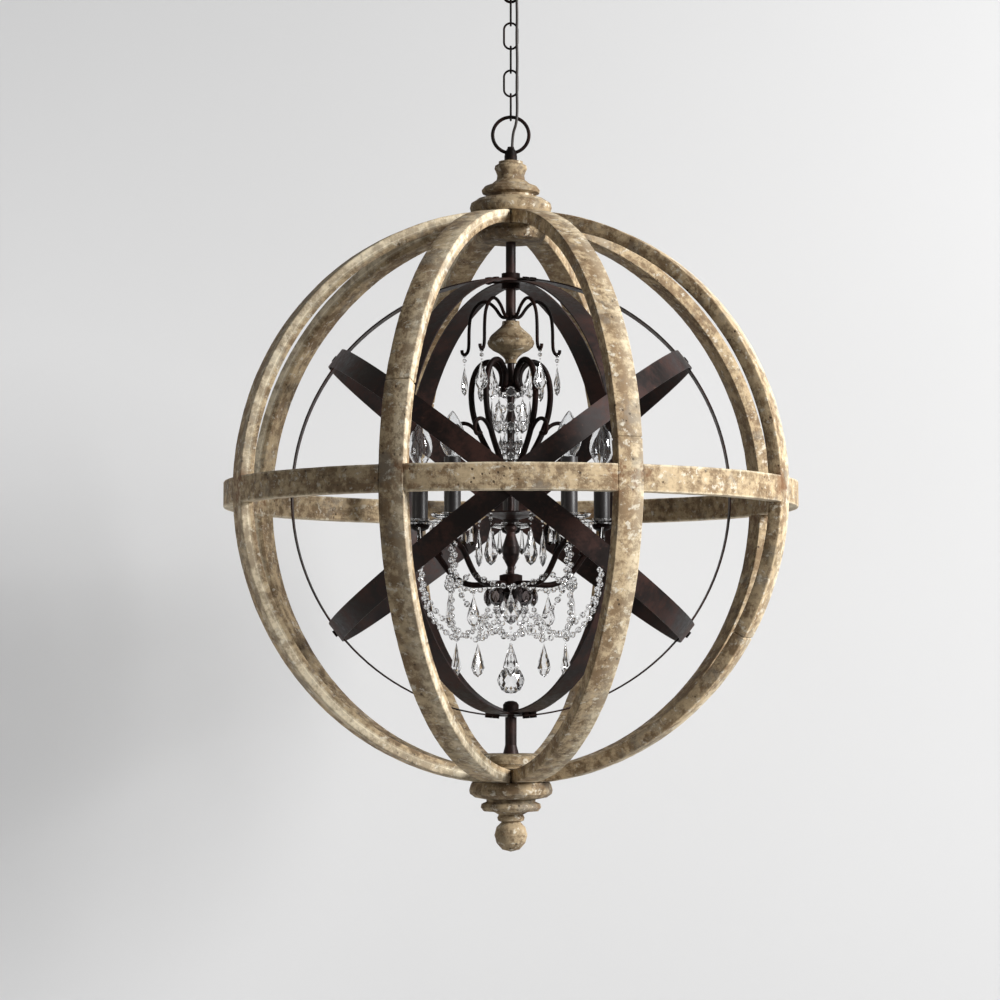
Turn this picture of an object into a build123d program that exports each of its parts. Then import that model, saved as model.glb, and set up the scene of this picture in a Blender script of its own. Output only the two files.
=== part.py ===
from build123d import *
import math
import os

# Wooden orb chandelier hung on a chain. Millimetres, +Z up.
# The origin is on the ceiling plane, over the centre of the fixture.
# Azimuth 0 faces -Y, the front, and turns towards +X.

# ---- driving dimensions ----
ORB_R = 400.0            # outside of the wooden ribs
RIB_W = 36.0             # rib and equator strip, across the face
RIB_T = 19.0             # rib and equator strip, through the face
RIB_COUNT = 8
PITCH_ANGLE = 360.0 / RIB_COUNT

LINK_LEN = 40.0          # chain link, outside
LINK_WIDTH = 22.0
LINK_WIRE = 3.0
LINK_COUNT = 5
LINK_GAP = 0.2           # play between two links that bear on each other
LOOP_WIRE = 4.0          # loop under the canopy
LOOP_OD = 24.0
RING_WIRE = 5.0          # ring on top of the orb
RING_OD = 56.0
CORD_D = 4.0

BRACKET_L = 104.0
BRACKET_W = 22.0
BRACKET_T = 2.5
SCREW_SPACING = 88.9
SCREW_HOLE_R = 2.6
CANOPY_R = 63.0
CANOPY_DEPTH = 26.0
CANOPY_WALL = 1.2
NIPPLE_R = 5.0
COLLAR_R = 12.0          # threaded collar that carries the loop
COLLAR_TOP = -23.0
COLLAR_BOTTOM = -38.0

STRAP_W = 30.0           # flat steel hoops inside the orb
STRAP_T = 2.0
STRAP_STEP = 2.6         # each hoop lies this much outside the one before
HOOP_R = 301.4           # outside of the smallest hoop
HOOP_TILT = 38.0
STEM_R = 7.0
LOWER_STEM_R = 8.0

LIGHTS = 5
LIGHT_STEP = 360.0 / LIGHTS
FIRST_LIGHT = 36.0
CUP_R = 135.0            # circle of the candles
SLEEVE_R = 11.5
SLEEVE_Z = (-36.0, 47.0)
COLUMN_R = 5.0
SWAG_R = 78.0            # circle of the lowest points of the bead strings
SWAG_LOW_Z = -200.0
BALL_R = 19.0
BALL_Z = -256.0
BALL_PIVOT = -178.4      # where the ball's string hangs from the stone above it

# ---- heights of the hanging chain, from the ceiling down ----
LINK_STRAIGHT = LINK_LEN - LINK_WIDTH
LINK_BEND = (LINK_WIDTH - LINK_WIRE) / 2
LINK_HALF = LINK_STRAIGHT / 2 + LINK_BEND      # centre of a link to its wire's end
LOOP_BEND = (LOOP_OD - LOOP_WIRE) / 2
LOOP_Z = COLLAR_BOTTOM - LOOP_OD / 2 + 2.0
RING_BEND = (RING_OD - RING_WIRE) / 2


def bears(upper_wire, lower_wire):
    """Rise of the lower piece's wire over the upper piece's wire that it hangs on."""
    return (upper_wire + lower_wire) / 2 + LINK_GAP


PIVOTS = [LOOP_Z - LOOP_BEND]                  # wire that each link hangs on, top first
LINK_Z = []
for index in range(LINK_COUNT):
    upper_wire = LOOP_WIRE if index == 0 else LINK_WIRE
    LINK_Z.append(PIVOTS[-1] + bears(upper_wire, LINK_WIRE) - LINK_HALF)
    PIVOTS.append(LINK_Z[-1] - LINK_HALF)
RING_Z = PIVOTS[-1] + bears(LINK_WIRE, RING_WIRE) - RING_BEND
COLLAR_H = 510.0                               # ring centre over the orb's centre
ORB_Z = RING_Z - COLLAR_H

os.makedirs("parts", exist_ok=True)


def save(name, solids, inside_orb=True):
    """Write one node; pieces of the fixture are drawn about the orb's centre."""
    solids = solids if isinstance(solids, list) else [solids]
    if inside_orb:
        solids = [Pos(0, 0, ORB_Z) * solid for solid in solids]
    body = solids[0] if len(solids) == 1 else Compound(children=solids)
    export_step(body, f"parts/{name}.step")


def turned(profile):
    """A lathe-turned solid from (radius, height) points."""
    outline = [(0, profile[0][1])] + list(profile) + [(0, profile[-1][1])]
    points = [outline[0]]
    for point in outline[1:]:
        if point != points[-1]:
            points.append(point)
    face = make_face(Plane.XZ * Polyline(*points, close=True))
    return revolve(face, Axis.Z)


def cylinder(radius, low, high):
    return Pos(0, 0, (low + high) / 2) * Cylinder(radius, high - low)


def tube(radius, bore, low, high):
    return cylinder(radius, low, high) - cylinder(bore, low - 1, high + 1)


def bent_path(points, share=0.45):
    """Straight runs joined by arcs, each arc taking that share of its shorter run."""
    corners = [Vector(*point) for point in points]
    radii = []
    for before, corner, after in zip(corners, corners[1:], corners[2:]):
        turn = math.radians((corner - before).get_angle(after - corner))
        shorter = min((corner - before).length, (after - corner).length)
        radii.append(share * shorter / math.tan(turn / 2))
    return FilletPolyline(*corners, radius=radii)


def rod(points, radius):
    """A round bar along a bent path."""
    path = bent_path(points)
    section = Plane(origin=path @ 0, z_dir=path % 0) * Circle(radius)
    return sweep(section, path=path)


def front(points):
    """(radius, height) points set in the front half plane, azimuth 0."""
    return [(0, -radius, height) for radius, height in points]


def at_lights(solid, offset=0.0):
    """Copies of a front piece at the five lights."""
    return [Rot(0, 0, FIRST_LIGHT + offset + LIGHT_STEP * k) * solid for k in range(LIGHTS)]


def ring(centre_z, bend, wire, facing_front):
    """A round wire ring; facing the front it lies in the XZ plane."""
    turn = Rot(90, 0, 0) if facing_front else Rot(0, 90, 0)
    return Pos(0, 0, centre_z) * turn * Torus(bend, wire / 2)


# ---- ceiling fitting ----
bar = Pos(0, 0, -BRACKET_T / 2) * Box(BRACKET_L, BRACKET_W, BRACKET_T)
for side in (-1, 1):
    bar -= Pos(side * SCREW_SPACING / 2, 0, 0) * cylinder(SCREW_HOLE_R, -9, 9)
bar -= cylinder(NIPPLE_R, -9, 9)
save("ceiling_bracket", bar, False)

save("bracket_nipple", tube(NIPPLE_R, 3.5, COLLAR_TOP - 8, -0.5), False)

loop = tube(COLLAR_R, NIPPLE_R, COLLAR_TOP - 8, COLLAR_TOP)
loop += cylinder(COLLAR_R, COLLAR_BOTTOM, COLLAR_TOP - 8)
loop += ring(LOOP_Z, LOOP_BEND, LOOP_WIRE, True) - cylinder(COLLAR_R, COLLAR_TOP - 6, -5)
save("canopy_loop", loop, False)

hole_r = COLLAR_R + 0.6
canopy_outer = [
    (CANOPY_R, -0.6), (CANOPY_R, -7), (CANOPY_R - 5, -11), (CANOPY_R - 15, -14),
    (CANOPY_R - 27, -20), (26, -CANOPY_DEPTH), (0, -CANOPY_DEPTH),
]
canopy_inner = [
    (CANOPY_R - CANOPY_WALL, 1), (CANOPY_R - CANOPY_WALL, -6.4),
    (CANOPY_R - 5.6, -9.9), (CANOPY_R - 15.4, -12.8), (CANOPY_R - 27.5, -18.8),
    (25.5, -CANOPY_DEPTH + CANOPY_WALL), (0, -CANOPY_DEPTH + CANOPY_WALL),
]
canopy = turned(canopy_outer) - turned(canopy_inner) - cylinder(hole_r, -40, -5)
save("canopy", canopy, False)

NUT_BORE = COLLAR_R + 0.08
nut = cylinder(17, -CANOPY_DEPTH - 6, -CANOPY_DEPTH) - cylinder(NUT_BORE, -50, -5)
nut = chamfer(nut.edges().filter_by(GeomType.CIRCLE).group_by(Axis.Z)[0].sort_by(SortBy.RADIUS)[-1], 2)
save("canopy_ring_nut", nut, False)

# ---- chain ----
link_half = LINK_STRAIGHT / 2
link_section = Plane(origin=(LINK_BEND, 0, 0), z_dir=(0, 1, 0)) * Circle(LINK_WIRE / 2)
flat_link = sweep(link_section, path=Wire([
    Line((LINK_BEND, 0), (LINK_BEND, link_half)),
    ThreePointArc((LINK_BEND, link_half), (0, LINK_HALF), (-LINK_BEND, link_half)),
    Line((-LINK_BEND, link_half), (-LINK_BEND, 0)),
]))
flat_link += mirror(flat_link, about=Plane.XZ)
for index, height in enumerate(LINK_Z):
    faces_front = index % 2 == 1
    upright = Rot(90, 0, 0) * flat_link
    placed = upright if faces_front else Rot(0, 0, 90) * upright
    save(f"chain_link_{index + 1}", Pos(0, 0, height) * placed, False)

# ---- supply cord, from the canopy collar down beside the chain to the orb's collar ----
NIPPLE_EXIT = 493.0 + ORB_Z                    # top of the collar on the orb
CORD_ROUTE = [
    (8.4, -4.6, COLLAR_BOTTOM),
    (8.4, -4.6, -56.0),
    (9.1, -4.9, -80.0),
    (8.2, -4.7, -108.0),
    (9.4, -5.0, -143.0),
    (8.3, -4.8, -178.0),
    (9.3, -5.1, -210.0),
    (8.0, -5.3, PIVOTS[-1] - 6.0),
    (2.4, -1.2, NIPPLE_EXIT + 18.0),
    (2.0, 0.0, NIPPLE_EXIT),
]
save("power_cord", rod(CORD_ROUTE, CORD_D / 2), False)

# ---- collar, ring, turned cap and finial on the orb ----
COLLAR_LOW = 472.0
TOP_NIPPLE = (352.0, 486.0)
top_loop = turned([(9, COLLAR_LOW), (9, 480), (7.4, 487), (4.6, 491.5), (4.6, 493)])
top_loop += ring(COLLAR_H, RING_BEND, RING_WIRE, True)
top_loop -= cylinder(4.4, 489, 520)
top_loop -= cylinder(NIPPLE_R, 470, TOP_NIPPLE[1])
top_loop -= cylinder(3.5, 480, 491)
save("top_loop", max(top_loop.solids(), key=lambda solid: solid.volume))

save("top_nipple", tube(NIPPLE_R, 3.5, *TOP_NIPPLE))

SEAT_R = math.hypot(ORB_R, RIB_W / 2) + 0.2     # ball that the rib ends stay inside
cap_profile = [
    (20, 395), (53, 395), (56, 400), (57.6, 406), (56, 412), (51, 415), (47, 418), (33, 421),
    (33, 424), (40, 427), (41, 431), (37, 436), (27, 440), (20, 446), (19, 452), (21, 458),
    (23, 462), (22, 466), (17, 469), (17, COLLAR_LOW),
]
save("top_cap", turned(cap_profile) - Sphere(SEAT_R) - cylinder(NIPPLE_R, 390, 480))

DISC_T = 20.0
disc = [(38, 0), (46, 3), (49, 9), (49, 13), (46, 17), (46, DISC_T)]
DISC_TOP = math.sqrt((ORB_R - RIB_T) ** 2 - 49 ** 2) - 0.2    # clear of the curved rib ends
HUB_LOW = DISC_TOP - DISC_T
top_disc = turned([(radius, HUB_LOW + height) for radius, height in disc])
save("top_hub_disc", top_disc - cylinder(NIPPLE_R, 340, 390))
bottom_disc = turned([(radius, -HUB_LOW - height) for radius, height in reversed(disc)])
save("bottom_hub_disc", bottom_disc - cylinder(NIPPLE_R, -390, -340))

finial_profile = [
    (0, -493), (12, -490), (20, -481), (23, -470), (20, -459), (13, -452), (18, -450),
    (19, -446), (17, -442), (24, -438), (38, -437), (42, -432), (41, -427), (34, -424),
    (34, -421), (50, -418), (57, -413), (58, -408), (56, -401), (53, -395), (20, -395),
]
finial = turned(finial_profile) - Sphere(SEAT_R) - cylinder(NIPPLE_R, -455, -395)
save("bottom_finial", finial)

# ---- wooden orb ----
MIDDLE_R = ORB_R - RIB_T / 2
rib_ring = revolve(Plane.XZ * Pos(MIDDLE_R, 0) * Rectangle(RIB_T, RIB_W), Axis.Z)
upright_ring = Rot(0, 90, 0) * rib_ring        # lies in the YZ plane
half_angle = math.radians(PITCH_ANGLE / 2)
REACH = ORB_R + 30
wedge = Polyline(
    (0, 0), (-REACH * math.tan(half_angle), -REACH), (REACH * math.tan(half_angle), -REACH),
    close=True,
)
wedge = Pos(0, 0, -REACH) * extrude(make_face(wedge), 2 * REACH)
rib = (upright_ring & wedge) - cylinder(NIPPLE_R, -REACH, REACH)
rib -= cylinder(MIDDLE_R, -RIB_W / 2, RIB_W / 2)      # half lap: the rib passes outside
lap_notch = Pos(0, -ORB_R, 0) * Box(RIB_W, 60, RIB_W + 2) - cylinder(MIDDLE_R, -REACH, REACH)
equator = rib_ring
for k in range(RIB_COUNT):
    azimuth = PITCH_ANGLE * (k + 0.5)
    equator -= Rot(0, 0, azimuth) * lap_notch
    save(f"rib_{k + 1}", Rot(0, 0, azimuth) * rib)
save("equator_hoop", equator)

# ---- steel hoops, each a flat strap ----
def strap_hoop(order, lean):
    """Hoop number order from the inside; lean turns it out of the YZ plane about +X by Rot."""
    outer = HOOP_R + STRAP_STEP * order
    flat = tube(outer, outer - STRAP_T, -STRAP_W / 2, STRAP_W / 2)
    return lean * flat


standing = Rot(0, 90, 0)
HOOPS = {
    "hoop_left": strap_hoop(0, Rot(0, 0, 30) * standing),
    "hoop_right": strap_hoop(1, Rot(0, 0, -30) * standing),
    "hoop_side": strap_hoop(2, Rot(0, 0, 90) * standing),
    "hoop_tilted_up": strap_hoop(3, Rot(0, -HOOP_TILT, 0)),
    "hoop_tilted_down": strap_hoop(4, Rot(0, HOOP_TILT, 0)),
}
OUTERMOST = HOOP_R + STRAP_STEP * 4


def bolt(inner, outer):
    """Dome-headed bolt along +Z from radius inner to radius outer, with a nut inside."""
    shank = cylinder(2.5, inner - 5, outer + 1)
    head = Pos(0, 0, outer) * Cylinder(5, 3, align=(Align.CENTER, Align.CENTER, Align.MIN))
    nut_piece = Pos(0, 0, inner) * extrude(RegularPolygon(5, 6), -4)
    return shank + head + nut_piece


SIDE_IN, SIDE_OUT = HOOP_R + 2 * STRAP_STEP - STRAP_T, HOOP_R + 2 * STRAP_STEP
bolts = []
for pole in (0, 180):
    for reach in (-31, -21, 21, 31):
        lean = math.degrees(math.asin(reach / SIDE_OUT))
        bolts.append(Rot(0, pole + lean, 0) * bolt(SIDE_IN, SIDE_OUT))
for tilt, order in ((HOOP_TILT, 4), (-HOOP_TILT, 3), (180 + HOOP_TILT, 4), (180 - HOOP_TILT, 3)):
    bolts.append(Rot(0, 90 + tilt, 0) * bolt(SIDE_IN, HOOP_R + STRAP_STEP * order))
for side in (90, -90):
    bolts.append(Rot(side, 0, 0) * bolt(OUTERMOST - STRAP_STEP - STRAP_T, OUTERMOST))
stem_hole = cylinder(STEM_R, 290, 320) + cylinder(LOWER_STEM_R - 3, -320, -290)
for name, hoop in HOOPS.items():
    for piece in bolts:
        hoop -= piece
    save(name, hoop - stem_hole)

nuts = [
    tube(13, STEM_R, HOOP_R - STRAP_T - 8, HOOP_R - STRAP_T - 0.4),
    tube(13, STEM_R, SIDE_OUT + 0.4, SIDE_OUT + 7),
    turned([(11, -HOOP_R + STRAP_T + 0.4), (11, -290), (8, -286), (3, -284.5)])
    - cylinder(LOWER_STEM_R - 3, -320, -288),
]
save("hoop_fasteners", bolts + nuts)

# ---- stems on the axis ----
BELL_TOP, BELL_LOW = 246.0, 187.0
stem = tube(STEM_R, NIPPLE_R, BELL_TOP, HUB_LOW)
save("upper_stem", stem)
lower = turned([(11, -HUB_LOW), (9.5, -HUB_LOW + 6), (LOWER_STEM_R, -HUB_LOW + 12),
                (LOWER_STEM_R, -SIDE_OUT - 0.4)])
lower += cylinder(LOWER_STEM_R - 3, -SIDE_OUT - 1, -288)
save("lower_stem", lower)
save("finial_stud", cylinder(NIPPLE_R, -455, -HUB_LOW - 0.5))

# ---- inner chandelier ----
bell_profile = [
    (8, BELL_LOW), (8, 192), (11, 196), (17, 201), (25, 205), (31, 210), (33, 215), (32, 219),
    (30, 220.5), (30.5, 222), (27, 227), (20, 233), (14.5, 238), (12.5, 241), (12, BELL_TOP),
]
save("wood_bell", turned(bell_profile))

column_profile = [
    (5, -108), (5, -98), (8, -92), (12, -80), (12, -70), (8, -58), (5.5, -50), (9, -46),
    (9, -42), (COLUMN_R, -38), (COLUMN_R, 24), (10, 28), (10, 32), (COLUMN_R, 36),
    (COLUMN_R, 150), (9, 154), (9, 158), (COLUMN_R, 162), (COLUMN_R, BELL_LOW),
]
DROP_DISH_R = 50.0       # thin dish on the column, hung with drops
column = turned(column_profile)
column += turned([(9, -36), (12, -32), (32, -27), (DROP_DISH_R, -24.5), (DROP_DISH_R, -22.5),
                  (32, -24), (9, -28)])
save("centre_column", column)

cane = rod(front([(STEM_R, 252), (14, 252), (24, 268), (38, 277), (51, 271), (60, 256),
                  (62, 236), (62, 213), (63.5, 205), (67.5, 201), (72, 203), (72.5, 208)]), 2.4)
save("crown_canes", at_lights(cane))

lyre = rod(front([(17, 150), (11.5, 163), (15, 180), (30, 192), (48, 184), (57, 164),
                  (59, 140), (55, 112), (45, 86), (33, 64), (21, 44), (COLUMN_R, 44)]), 4.2)
lyre += Pos(0, -17, 150) * Sphere(5.4)
shoulder = rod(front([(44, 84), (58, 102), (74, 106), (86, 96), (82, 82), (72, 84)]), 2.8)
save("lyre_scrolls", at_lights(lyre + shoulder))

HUB_R = 16.0
hub_profile = [(0, -146), (7, -143), (9, -138), (HUB_R, -134), (HUB_R, -110), (9, -108), (5, -108)]
save("arm_hub", turned(hub_profile))

CUP_FOOT = SLEEVE_Z[0] - 10
arm = rod(front([(HUB_R, -122), (34, -122), (60, -124), (82, -114), (96, -98), (107, -82),
                 (121, -70), (CUP_R, -64), (CUP_R, CUP_FOOT)]), 4.2)
save("arms", at_lights(arm))
arm_scroll = rod(front([(103, -81), (111, -68), (108, -52), (97, -42), (85, -45), (82, -54),
                        (88, -60)]), 3.3)
save("arm_scrolls", at_lights(arm_scroll - arm))


def at_cup(solid):
    return at_lights(Pos(0, -CUP_R, 0) * solid)


cup = turned([(6, CUP_FOOT), (12, CUP_FOOT + 3), (14, CUP_FOOT + 7), (14, CUP_FOOT + 10)])
save("candle_cups", at_cup(cup))
DISH_R = 30.0
dish_outer = turned([(SLEEVE_R + 0.1, -36), (20, -37), (27, -35), (DISH_R, -31), (DISH_R, -30)])
dish_inner = turned([(SLEEVE_R, -33.5), (20, -34.5), (26, -32.5), (DISH_R - 2, -29.9), (DISH_R - 2, -28)])
dish = dish_outer - dish_inner - cylinder(SLEEVE_R, -40, -20)
dish -= cylinder(14.1, -40, -36)
save("bobeches", at_cup(dish))
sleeve = tube(SLEEVE_R, SLEEVE_R - 1.5, *SLEEVE_Z)
save("candle_sleeves", at_cup(sleeve))
SOCKET_R = 8.0
socket = cylinder(SOCKET_R, 12, 45) - cylinder(SOCKET_R - 1.2, 18, 46)
socket += cylinder(3.5, SLEEVE_Z[0], 12)
save("lamp_sockets", at_cup(socket))
bulb_profile = [
    (3, 19), (6.7, 24), (6.7, 46), (9, 49), (15, 60), (17.5, 72), (15, 86), (8, 100), (2, 110),
]
for number, bulb in enumerate(at_cup(turned(bulb_profile))):
    save(f"bulb_{number + 1}", bulb)


# ---- crystals ----
def drop(top, length, radius):
    """A pear-shaped drop on a short pin, hanging from height top."""
    return turned([
        (0, top - length), (radius * 0.75, top - length * 0.86), (radius, top - length * 0.72),
        (radius * 0.55, top - length * 0.36), (1.2, top - length * 0.12), (0.8, top),
    ])


PRISMS_A_DISH = 6
prism = Pos(0, -(DISH_R - 2.6), 0) * drop(-37, 34, 4.5)
prisms = []
for light in range(LIGHTS):
    for k in range(PRISMS_A_DISH):
        spot = Rot(0, 0, 360 / PRISMS_A_DISH * (k + 0.5)) * prism
        prisms.append(Rot(0, 0, FIRST_LIGHT + LIGHT_STEP * light) * Pos(0, -CUP_R, 0) * spot)
save("bobeche_prisms", prisms)

STONE_FLATNESS = 0.38    # thickness of a flat-cut drop over its width
STRING_R = 0.8


def hung_drop(reach, hook, beads, top, length, radius):
    """A flat-cut drop facing outwards, on a string of beads from height hook to its pin."""
    hung = scale(drop(top, length, radius), by=(1, STONE_FLATNESS, 1))
    hung += cylinder(STRING_R, top - 1, hook)
    for height in beads:
        hung += Pos(0, 0, height) * Sphere(3)
    return Pos(0, -reach, 0) * hung


half_step = LIGHT_STEP / 2
GARLAND_R = 90.0         # upper string of beads, between the arms
cane_drop = hung_drop(68.5, 197, (194, 187.5), 185, 42, 11.5)
lyre_drop = hung_drop(44, 178.8, (), 178, 44, 11.5)
column_drop = hung_drop(28, 142, (), 136, 50, 11)
column_tail = hung_drop(15, 90, (), 86, 36, 8)
dish_drop = hung_drop(DROP_DISH_R - 3, -25.4, (-32, -39), -44, 54, 12)
hub_stone = Pos(0, -33, -140.5) * Rot(90, 0, 0) * extrude(RegularPolygon(13, 8), 4.5, both=True)
hub_tail = Pos(0, -20, 0) * drop(-136, 30, 6)
garland_drop = hung_drop(GARLAND_R, -131, (), -136, 45, 12)
low_stone = turned([(0, -178), (9, -166), (4, -157), (1.2, -154), (1.2, -146)])
save("inner_crystals", at_lights(cane_drop) + at_lights(lyre_drop) + at_lights(column_drop)
     + at_lights(column_tail, half_step) + at_lights(dish_drop) + at_lights(hub_stone)
     + at_lights(hub_tail) + at_lights(garland_drop, half_step) + [low_stone])


def round_axis(radius, azimuth, height):
    turn = math.radians(azimuth)
    return (radius * math.sin(turn), -radius * math.cos(turn), height)


def bead_route(route):
    """Points of a string of beads; route holds shares of half a step, radii and heights."""
    return [round_axis(reach, half_step * turn, height) for turn, reach, height in route]


def mirrored(route):
    return [(-turn, reach, height) for turn, reach, height in route] + route[-2::-1]


# the strings of beads are plain bars here
swag_route = bead_route(mirrored([
    (0.965, CUP_R - 1, -72), (0.965, CUP_R - 1, -104), (0.92, 128, -140), (0.67, 110, -172),
    (0.26, 85, -195), (0, SWAG_R, SWAG_LOW_Z),
]))
swag = rod(swag_route, 3)
garland = rod(bead_route(mirrored([
    (0.9, GARLAND_R, -112), (0.55, GARLAND_R, -124), (0, GARLAND_R, -130),
])), 2)
tie_route = [(0.9, 34, -158), (0.62, 45, -178), (0.3, 62, -191), (0.06, 72.5, -196)]
tie = rod(bead_route(tie_route), 2)
save("swags", at_lights(swag, half_step) + at_lights(garland, half_step)
     + at_lights(tie, half_step) + at_lights(mirror(tie, about=Plane.YZ), half_step))

SWAG_POINT = bent_path(swag_route) @ 0.5       # lowest point of a swag
EYE_Z = SWAG_POINT.Z - 0.6
eye = Pos(0, SWAG_POINT.Y, 0) * ring(EYE_Z, 4.6, 1.2, False)
tear = eye + Pos(0, SWAG_POINT.Y, 0) * drop(EYE_Z - 4.4, 48, 11)
print("swag lowest point", SWAG_POINT)
for number, piece in enumerate(at_lights(tear, half_step)):
    save(f"teardrop_{number + 1}", piece)

ball = Pos(0, 0, BALL_Z) * Sphere(BALL_R)
ball += cylinder(2.4, BALL_Z + BALL_R - 1, BALL_PIVOT)
save("crystal_ball", ball)

print("orb centre at", round(ORB_Z, 2), "pivots", [round(height, 2) for height in PIVOTS])
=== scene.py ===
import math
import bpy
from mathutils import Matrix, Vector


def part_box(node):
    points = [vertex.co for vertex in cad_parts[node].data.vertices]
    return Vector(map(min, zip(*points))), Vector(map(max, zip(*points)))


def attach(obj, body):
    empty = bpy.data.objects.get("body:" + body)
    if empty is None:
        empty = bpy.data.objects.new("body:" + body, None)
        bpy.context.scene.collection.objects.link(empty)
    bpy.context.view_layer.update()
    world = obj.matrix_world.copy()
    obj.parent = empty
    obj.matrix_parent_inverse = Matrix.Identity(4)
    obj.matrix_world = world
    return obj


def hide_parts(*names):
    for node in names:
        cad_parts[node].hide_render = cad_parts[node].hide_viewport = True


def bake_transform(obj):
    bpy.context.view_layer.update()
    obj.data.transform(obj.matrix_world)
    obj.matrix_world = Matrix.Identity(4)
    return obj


bl_info = {
    "name": "Orb chandelier dressing",
    "version": (1, 0, 0),
    "blender": (4, 5, 0),
    "location": "3D View > Sidebar > Chandelier",
    "description": "Dresses the packed orb chandelier with weathered wood, bronze and cut crystal",
    "category": "Object",
}

import bpy
from mathutils import Matrix, Vector, noise

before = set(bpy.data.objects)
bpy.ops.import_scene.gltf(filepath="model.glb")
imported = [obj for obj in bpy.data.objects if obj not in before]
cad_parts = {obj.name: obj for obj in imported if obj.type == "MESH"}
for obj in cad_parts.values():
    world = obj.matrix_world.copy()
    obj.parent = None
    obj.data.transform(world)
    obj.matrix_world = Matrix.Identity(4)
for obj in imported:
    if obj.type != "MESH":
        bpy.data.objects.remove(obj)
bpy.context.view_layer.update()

# ---- places read from the frame, in metres ----
MM = 0.001
HOOP_LOW, HOOP_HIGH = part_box("equator_hoop")
ORB_Z = (HOOP_LOW.z + HOOP_HIGH.z) / 2
ORB_R = (HOOP_HIGH.x - HOOP_LOW.x) / 2
ORB = Vector((0, 0, ORB_Z))
LIGHTS = 5
LIGHT_TURN = math.tau / LIGHTS
FIRST_LIGHT = LIGHT_TURN / 2
CUP_R = 135 * MM


def centre_of(node):
    low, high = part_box(node)
    return (low + high) / 2


def at_azimuth(turn, radius, height):
    """A point about the orb's centre; azimuth 0 faces -Y and turns towards +X."""
    return ORB + Vector((radius * math.sin(turn), -radius * math.cos(turn), height))


def each_light(offset=0.0):
    return [FIRST_LIGHT + offset + LIGHT_TURN * k for k in range(LIGHTS)]


# ---- settings ----


class OrbWood(bpy.types.PropertyGroup):
    rib_width: bpy.props.FloatProperty(
        name="Rib width", description="Face of a rib", default=36 * MM, unit="LENGTH")
    rib_depth: bpy.props.FloatProperty(
        name="Rib depth", description="Rib through the face", default=19 * MM, unit="LENGTH")
    edge_round: bpy.props.FloatProperty(
        name="Edge rounding", description="Radius worn on the edges", default=1.6 * MM, unit="LENGTH")
    wobble: bpy.props.FloatProperty(
        name="Hand wobble", description="Unevenness of the sawn faces", default=0.5 * MM, unit="LENGTH")
    limewash: bpy.props.FloatVectorProperty(
        name="Limewash", description="Pale rubbed paint", subtype="COLOR", default=(0.50, 0.382, 0.236))
    bare: bpy.props.FloatVectorProperty(
        name="Bare wood", description="Brown wood under the paint", subtype="COLOR",
        default=(0.122, 0.078, 0.041))
    stain: bpy.props.FloatVectorProperty(
        name="Rust stain", description="Orange-brown stains", subtype="COLOR", default=(0.20, 0.085, 0.032))
    # This cream is worn paint on the corners, partly a painted highlight on the edges; on the strips' side
    # faces it is painted light.
    worn: bpy.props.FloatVectorProperty(
        name="Worn edges", description="Cream paint left along the edges", subtype="COLOR",
        default=(0.82, 0.73, 0.55))
    turned: bpy.props.FloatProperty(
        name="Turned parts", description="How pale the turned parts are beside the ribs", default=0.76)


class Bronze(bpy.types.PropertyGroup):
    dark: bpy.props.FloatVectorProperty(
        name="Dark bronze", description="Aged paint", subtype="COLOR", default=(0.009, 0.0054, 0.0048))
    worn: bpy.props.FloatVectorProperty(
        name="Worn bronze", description="Red-brown rubbed patches", subtype="COLOR",
        default=(0.040, 0.017, 0.013))


class Crystal(bpy.types.PropertyGroup):
    index: bpy.props.FloatProperty(
        name="Refractive index", description="Lead crystal", default=1.58)
    bead: bpy.props.FloatProperty(
        name="Bead radius", description="Beads of the swags", default=4.4 * MM, unit="LENGTH")
    bead_gap: bpy.props.FloatProperty(
        name="Bead spacing", description="From bead to bead along a string", default=7.0 * MM, unit="LENGTH")


class Studio(bpy.types.PropertyGroup):
    distance: bpy.props.FloatProperty(
        name="Camera distance", description="From the orb's centre", default=4.05, unit="LENGTH")
    below: bpy.props.FloatProperty(
        name="Look up", description="Camera's angle below the orb", default=math.radians(3.78),
        subtype="ANGLE")
    wall: bpy.props.FloatVectorProperty(
        name="Wall", description="Pale grey wall and floor", subtype="COLOR", default=(0.65, 0.65, 0.652))
    key: bpy.props.FloatProperty(name="Key light", description="Power of the key light", default=284.0)
    fill: bpy.props.FloatProperty(name="Fill light", description="Power of the fill light", default=1.0)
    wash: bpy.props.FloatProperty(name="Wall wash", description="Power of the light on the wall", default=8.5)
    sky: bpy.props.FloatProperty(name="Room light", description="Strength of the world", default=0.04)
    backdrop: bpy.props.FloatProperty(
        name="Backdrop", description="World seen past the wall and in reflections", default=0.35)


# ---- shader helpers ----


class Value:
    """A shader socket that adds, multiplies and so on like a number."""

    def __init__(self, shade, socket):
        self.shade, self.socket = shade, socket

    def _math(self, operation, first, second):
        return self.shade.add("ShaderNodeMath", {"operation": operation}, {0: first, 1: second})

    def __add__(self, other):
        return self._math("ADD", self, other)

    __radd__ = __add__

    def __sub__(self, other):
        return self._math("SUBTRACT", self, other)

    def __rsub__(self, other):
        return self._math("SUBTRACT", other, self)

    def __mul__(self, other):
        return self._math("MULTIPLY", self, other)

    __rmul__ = __mul__

    def size(self):
        return self._math("ABSOLUTE", self, 0.0)

    def step(self, low, high, bottom=0.0, top=1.0):
        """Smoothly from bottom, where this is low, to top, where it is high."""
        return self.shade.add(
            "ShaderNodeMapRange", {"interpolation_type": "SMOOTHSTEP"},
            {"Value": self, "From Min": low, "From Max": high, "To Min": bottom, "To Max": top})


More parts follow.
